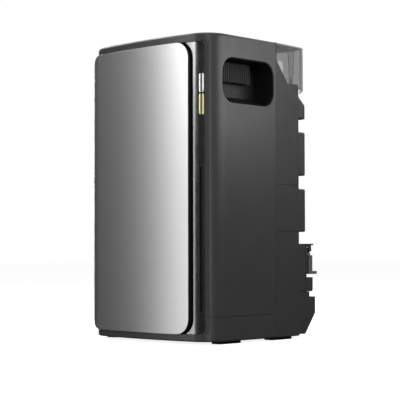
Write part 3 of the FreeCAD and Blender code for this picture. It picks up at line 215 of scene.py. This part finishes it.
MATERIALS = {
    "shell": lambda: grained_plastic(
        "shell_grey", (0.054, 0.054, 0.055), (0.062, 0.062, 0.063), (0.34, 0.42)),
    "frame_gloss": lambda: glossy(
        "smoked_chrome", (0.20, 0.20, 0.203), (0.22, 0.22, 0.223), (0.20, 0.27), 1.0),
    "panel_metal": lambda: brushed(
        "brushed_panel", (0.665, 0.665, 0.67), (0.70, 0.70, 0.70), (0.345, 0.385), "x", 0.03, 1700),
    # Black plastic, partly its own colour and partly painted shade: every part in this slot is darkened
    # below black plastic's real tone so that the deep handle pocket looks as dark as its shade.
    "dark_plastic": lambda: grained_plastic(
        "black_plastic_with_painted_pocket_shade", (0.005, 0.005, 0.0052), (0.009, 0.009, 0.0093)),
    "hood_clear": lambda: clear_hood("smoked_clear"),
    "key_silver": lambda: brushed("silver_key", (0.66, 0.66, 0.67), (0.78, 0.78, 0.78), (0.26, 0.36), "z"),
    "key_gold": lambda: brushed("pale_gold_key", (0.62, 0.56, 0.30), (0.74, 0.68, 0.40), (0.28, 0.38), "z"),
    "window": lambda: glossy("black_window", (0.008, 0.008, 0.009), (0.014, 0.014, 0.015), (0.05, 0.12)),
    "bright_trim": lambda: glossy("bright_trim", (0.48, 0.48, 0.49), (0.54, 0.54, 0.55), (0.16, 0.22), 1.0),
    "board": lambda: grained_plastic("solder_mask", (0.01, 0.06, 0.03), (0.015, 0.09, 0.045), (0.3, 0.4)),
    "rubber": lambda: rubbery("black_rubber", (0.010, 0.010, 0.010), (0.018, 0.018, 0.018)),
    "screw_steel": lambda: brushed("screw_steel", (0.38, 0.38, 0.39), (0.50, 0.50, 0.51), (0.28, 0.42), "y"),
    "latch_grey": lambda: grained_plastic(
        "latch_grey", (0.13, 0.13, 0.135), (0.17, 0.17, 0.175), (0.34, 0.46)),
    "pan_steel": lambda: brushed("pan_steel", (0.40, 0.41, 0.42), (0.52, 0.53, 0.54), (0.35, 0.5), "x"),
    "compressor_black": lambda: glossy(
        "enamel_black", (0.012, 0.012, 0.012), (0.02, 0.02, 0.02), (0.25, 0.4)),
    "copper": lambda: glossy("copper_pipe", (0.62, 0.28, 0.16), (0.75, 0.38, 0.24), (0.25, 0.4), 1.0),
    "fins": lambda: brushed("fin_aluminium", (0.50, 0.51, 0.52), (0.62, 0.63, 0.64), (0.35, 0.5), "x"),
    "inner_plastic": lambda: grained_plastic("inner_grey", (0.30, 0.30, 0.30), (0.36, 0.36, 0.36)),
    "fan_plastic": lambda: grained_plastic("fan_black", (0.018, 0.018, 0.019), (0.03, 0.03, 0.031)),
    "motor_metal": lambda: brushed("motor_zinc", (0.30, 0.31, 0.32), (0.42, 0.43, 0.44), (0.35, 0.5), "y"),
    "battery_case": lambda: grained_plastic("battery_case", (0.03, 0.035, 0.05), (0.04, 0.047, 0.065)),
}
made_materials = {slot: build() for slot, build in MATERIALS.items()}
for node, obj in NODES.items():
    obj.data.materials.clear()
    obj.data.materials.append(made_materials[SLOT_OF[node]])


# ---------------------------------------------------------------- mesh helpers
WELD_DISTANCE = 2e-6
CREASE_ANGLE = math.radians(32)          # edges sharper than this stay sharp in the shading
BEVEL_ANGLE = math.radians(50)           # edges sharper than this are bevelled
FLAT_WEIGHT = 80                         # how far the larger face governs the shading at an edge


def new_object(name, mesh, slot, body, replaced):
    """A visible piece with its slot's material, riding its body and standing in for a CAD node."""
    obj = bpy.data.objects.new(name, mesh)
    bpy.context.scene.collection.objects.link(obj)
    mesh.materials.clear()
    mesh.materials.append(made_materials[slot])
    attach(obj, body)
    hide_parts(replaced)
    return obj


def apply_modifiers(obj):
    """Puts the modifiers' result into the mesh itself."""
    graph = bpy.context.evaluated_depsgraph_get()
    mesh = bpy.data.meshes.new_from_object(obj.evaluated_get(graph))
    old = obj.data
    obj.modifiers.clear()
    obj.data = mesh
    bpy.data.meshes.remove(old)


def smooth_copy(node, softening):
    """The node's own shape with curved faces shaded smooth, flats kept flat and, where softening is
    over zero, its sharp edges broken by a small bevel."""
    mesh = NODES[node].data.copy()
    work = bmesh.new()
    work.from_mesh(mesh)
    bmesh.ops.remove_doubles(work, verts=work.verts, dist=WELD_DISTANCE)
    for face in work.faces:
        face.smooth = True
    for edge in work.edges:
        edge.smooth = len(edge.link_faces) == 2 and edge.calc_face_angle(0.0) < CREASE_ANGLE
    work.to_mesh(mesh)
    work.free()
    if mesh.has_custom_normals:
        mesh.normals_split_custom_set([(0, 0, 0)] * len(mesh.loops))
    obj = new_object(node + "_shape", mesh, SLOT_OF[node], BODY_OF[node], node)
    if softening:
        bevel = obj.modifiers.new("softened", "BEVEL")
        bevel.width, bevel.segments, bevel.limit_method = softening, 2, "ANGLE"
        bevel.angle_limit = BEVEL_ANGLE
    weighted = obj.modifiers.new("weighted", "WEIGHTED_NORMAL")
    weighted.keep_sharp = True
    weighted.mode = "FACE_AREA"
    weighted.weight = FLAT_WEIGHT


# ---------------------------------------------------------------- the cabinet's outline in plan
HALF_WIDTH = 0.152
BOW_RADIUS = 0.870
FRONT_RIM_Y = -0.164
PANEL_PROUD = 0.00397    # the skin stays a hair inside the CAD panel's face
PANEL_CURL = 0.048       # radius of the panel's curl at the left corner
PANEL_LEFT = -0.1339
PANEL_CORNER_LEFT, PANEL_CORNER_RIGHT = 0.026, 0.025
PANEL_THICKNESS = 0.0012
PANEL_EDGE = 0.00045     # width of the bevel round the skin's edge
PANEL_ROWS, PANEL_COLUMNS = 170, 120
ROW_CROWDING = 0.65      # 0 spaces the rows evenly, 1 crowds them most at the rounded corners
CURL_X = HALF_WIDTH - PANEL_CURL
CURL_Y = FRONT_RIM_Y + BOW_RADIUS - math.sqrt((BOW_RADIUS - PANEL_CURL) ** 2 - CURL_X**2)
CURL_TURN = math.asin(CURL_X / (BOW_RADIUS - PANEL_CURL))


def panel_point(distance):
    """Point on the panel's face. Distance runs along the bow from the middle, positive to the right,
    and goes on round the curl on the left."""
    bow = BOW_RADIUS + PANEL_PROUD
    if distance >= -bow * CURL_TURN:
        angle = distance / bow
        return bow * math.sin(angle), FRONT_RIM_Y + BOW_RADIUS - bow * math.cos(angle)
    radius = PANEL_CURL + PANEL_PROUD
    angle = CURL_TURN + (-distance - bow * CURL_TURN) / radius
    return -CURL_X - radius * math.sin(angle), CURL_Y - radius * math.cos(angle)


def curl_distance(x):
    """Distance along the panel's face of a place on the curl."""
    radius = PANEL_CURL + PANEL_PROUD
    angle = math.asin(min(max((-x - CURL_X) / radius, -1.0), 1.0))
    return -((BOW_RADIUS + PANEL_PROUD) * CURL_TURN + radius * (angle - CURL_TURN))


def corner_inset(z, low, high, radius):
    """How far a rounded corner pulls the side in at this height."""
    drop = max(low + radius - z, z - (high - radius), 0.0)
    return radius - math.sqrt(max(radius**2 - drop**2, 0.0))


def front_panel():
    """Dense, softly bevelled skin of the front panel, wrapped round the left corner."""
    low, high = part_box("front_panel")
    bow = BOW_RADIUS + PANEL_PROUD
    right = bow * math.asin(high.x / bow)
    mesh = bpy.data.meshes.new("front_panel_skin")
    work = bmesh.new()
    grid = []
    for i in range(PANEL_ROWS + 1):
        t = i / PANEL_ROWS
        eased = 0.5 - 0.5 * math.cos(math.pi * t)
        z = low.z + (high.z - low.z) * ((1 - ROW_CROWDING) * t + ROW_CROWDING * eased)
        start = curl_distance(PANEL_LEFT + corner_inset(z, low.z, high.z, PANEL_CORNER_LEFT))
        end = right - corner_inset(z, low.z, high.z, PANEL_CORNER_RIGHT)
        row = []
        for j in range(PANEL_COLUMNS + 1):
            x, y = panel_point(start + (end - start) * j / PANEL_COLUMNS)
            row.append(work.verts.new((x, y, z)))
        grid.append(row)
    for i in range(PANEL_ROWS):
        for j in range(PANEL_COLUMNS):
            work.faces.new((grid[i][j], grid[i][j + 1], grid[i + 1][j + 1], grid[i + 1][j]))
    for face in work.faces:
        face.smooth = True
    work.normal_update()
    work.to_mesh(mesh)
    work.free()
    obj = new_object("front_panel_skin", mesh, "panel_metal", "panel", "front_panel")
    solid = obj.modifiers.new("solid", "SOLIDIFY")
    solid.thickness, solid.offset = PANEL_THICKNESS, -1.0
    bevel = obj.modifiers.new("bevel", "BEVEL")
    bevel.width, bevel.segments, bevel.limit_method = PANEL_EDGE, 3, "ANGLE"
    bevel.angle_limit, bevel.harden_normals = BEVEL_ANGLE, True
    apply_modifiers(obj)


# Pieces inside the cabinet or behind a cover: the CAD shape itself is shown, in its material.
HIDDEN_INSIDE = {
    "hood_screws", "block_screws", "control_board", "base_pan", "compressor", "compressor_grommets",
    "accumulator", "condenser_coil", "evaporator_coil", "condenser_shroud", "condenser_motor", "divider",
    "blower_motor", "blower_scroll", "drain_tray", "discharge_pipe", "suction_pipe", "control_box",
    "battery", "condenser_fan", "blower_wheel", "filter_screen_upper", "filter_screen_lower",
}
# Width of the small bevel on the outer mouldings' edges, in metres.
SOFTENED = {
    "main_shell": 0.0004, "base_shell": 0.0005, "rear_shell": 0.0004, "top_block": 0.0003,
    "filter_cover_upper": 0.0003, "filter_cover_lower": 0.0003, "rear_skirt": 0.0003,
    "latch_right": 0.0003, "latch_left": 0.0003, "service_flap": 0.0003,
}
front_panel()
for node in NODES:
    if node not in HIDDEN_INSIDE and node != "front_panel":
        smooth_copy(node, SOFTENED.get(node, 0.0))


# ---------------------------------------------------------------- studio
FLOOR_RADIUS, BACKDROP_RADIUS = 14.0, 13.0
FLOOR_GLOW, FLOOR_WHITE = 0.86, 0.8
BACKDROP_GLOW, BACKDROP_WHITE = 1.0, 0.0


def emission(name, strength, diffuse):
    """White stage surface, part glow and part plain white."""
    material = bpy.data.materials.new(name)
    material.use_nodes = True
    shader = material.node_tree.nodes["Principled BSDF"]
    shader.inputs["Base Color"].default_value = (diffuse, diffuse, diffuse, 1)
    shader.inputs["Roughness"].default_value = 1.0
    shader.inputs["Specular IOR Level"].default_value = 0.0
    shader.inputs["Emission Color"].default_value = (1, 1, 1, 1)
    shader.inputs["Emission Strength"].default_value = strength
    return material


def stage_object(name, work, material):
    """Part of the stage, seen only by the camera, so that it neither lights nor shades the object."""
    mesh = bpy.data.meshes.new(name)
    work.to_mesh(mesh)
    work.free()
    obj = bpy.data.objects.new(name, mesh)
    bpy.context.scene.collection.objects.link(obj)
    mesh.materials.append(material)
    obj.visible_diffuse = False
    obj.visible_glossy = False
    obj.visible_transmission = False
    obj.visible_shadow = False


def make_stage():
    """A white disc for the floor and a white dome that faces inwards."""
    work = bmesh.new()
    bmesh.ops.create_circle(work, cap_ends=True, radius=FLOOR_RADIUS, segments=64)
    stage_object("floor", work, emission("floor_white", FLOOR_GLOW, FLOOR_WHITE))
    work = bmesh.new()
    bmesh.ops.create_uvsphere(work, u_segments=64, v_segments=32, radius=BACKDROP_RADIUS)
    for face in work.faces:
        face.normal_flip()
    stage_object("backdrop", work, emission("backdrop_white", BACKDROP_GLOW, BACKDROP_WHITE))


def area_light(name, azimuth, elevation, distance, size, power, target=(0, 0, 0.27)):
    """Soft box placed round the object. Azimuth 0 is in front, 90 is at the right side."""
    data = bpy.data.lights.new(name, "AREA")
    data.shape = "RECTANGLE"
    data.size, data.size_y = size
    data.energy = power
    obj = bpy.data.objects.new(name, data)
    bpy.context.scene.collection.objects.link(obj)
    a, e = math.radians(azimuth), math.radians(elevation)
    out = Vector((math.sin(a) * math.cos(e), -math.cos(a) * math.cos(e), math.sin(e)))
    obj.location = Vector(target) + out * distance
    obj.rotation_mode = "QUATERNION"
    obj.rotation_quaternion = out.to_track_quat("Z", "Y")
    obj.visible_camera = False
    return obj


def make_lights():
    """Soft boxes: name, azimuth, elevation, distance, size, power, and the point that each faces."""
    area_light("key_front", -24, 3, 2.2, (0.28, 2.9), 9.5, (0, 0, 0.36))
    area_light("key_high", -19, 20, 2.2, (0.36, 0.9), 5.5, (0, 0, 0.40))
    fill = area_light("front_fill", 16, 12, 2.4, (0.7, 1.6), 9)
    fill.visible_glossy = False
    area_light("near_camera", 50, 6, 2.2, (0.30, 1.8), 9, (0.12, -0.12, 0.30))
    area_light("rim_left", -112, 8, 2.0, (0.25, 2.2), 14)
    area_light("edge_left", -90, 46, 1.8, (0.5, 0.9), 16, (0, -0.12, 0.45))
    area_light("side_near", 108, 20, 0.62, (0.6, 0.3), 2.25, (0.15, 0.05, 0.33))
    area_light("top_soft", 60, 82, 1.6, (1.0, 1.0), 8)
    area_light("back_soft", 168, 35, 2.2, (1.2, 1.2), 8)


def make_world():
    """Dim room that is lighter above and dark below."""
    world = bpy.data.worlds.new("studio")
    bpy.context.scene.world = world
    world.use_nodes = True
    tree = world.node_tree
    background = tree.nodes["Background"]
    coords = tree.nodes.new("ShaderNodeTexCoord")
    split = tree.nodes.new("ShaderNodeSeparateXYZ")
    ramp = tree.nodes.new("ShaderNodeMapRange")
    ramp.interpolation_type = "SMOOTHSTEP"
    ends = {"From Min": -0.4, "From Max": 0.9, "To Min": 0.02, "To Max": 0.16}
    for key, value in ends.items():
        ramp.inputs[key].default_value = value
    tree.links.new(coords.outputs["Generated"], split.inputs["Vector"])
    tree.links.new(split.outputs["Z"], ramp.inputs["Value"])
    tree.links.new(ramp.outputs["Result"], background.inputs["Color"])
    background.inputs["Strength"].default_value = 1.0


CAMERA_AZIMUTH, CAMERA_PITCH, CAMERA_ROLL = 43.607, 2.177, -0.112     # degrees
CAMERA_PLACE = (1.611018, -1.708239, 0.157996)
SENSOR_WIDTH, FOCAL_LENGTH = 36.0, 117.00468                            # millimetres


def make_camera():
    """Looks from the right of the front, low down and a little upwards."""
    data = bpy.data.cameras.new("camera")
    data.sensor_width = SENSOR_WIDTH
    data.lens = FOCAL_LENGTH
    data.clip_start, data.clip_end = 0.05, 60.0
    obj = bpy.data.objects.new("camera", data)
    bpy.context.scene.collection.objects.link(obj)
    a, b, r = (math.radians(v) for v in (CAMERA_AZIMUTH, CAMERA_PITCH, CAMERA_ROLL))
    forward = Vector((-math.sin(a) * math.cos(b), math.cos(a) * math.cos(b), math.sin(b)))
    level = Vector((math.cos(a), math.sin(a), 0))
    up = level.cross(forward)
    right = level * math.cos(r) + up * math.sin(r)
    top = up * math.cos(r) - level * math.sin(r)
    turn = Matrix((right, top, -forward)).transposed()
    obj.matrix_world = Matrix.Translation(Vector(CAMERA_PLACE)) @ turn.to_4x4()
    bpy.context.scene.camera = obj


make_stage()
make_lights()
make_world()
make_camera()
bpy.context.scene.view_settings.view_transform = "Standard"
bpy.context.scene.view_settings.look = "None"
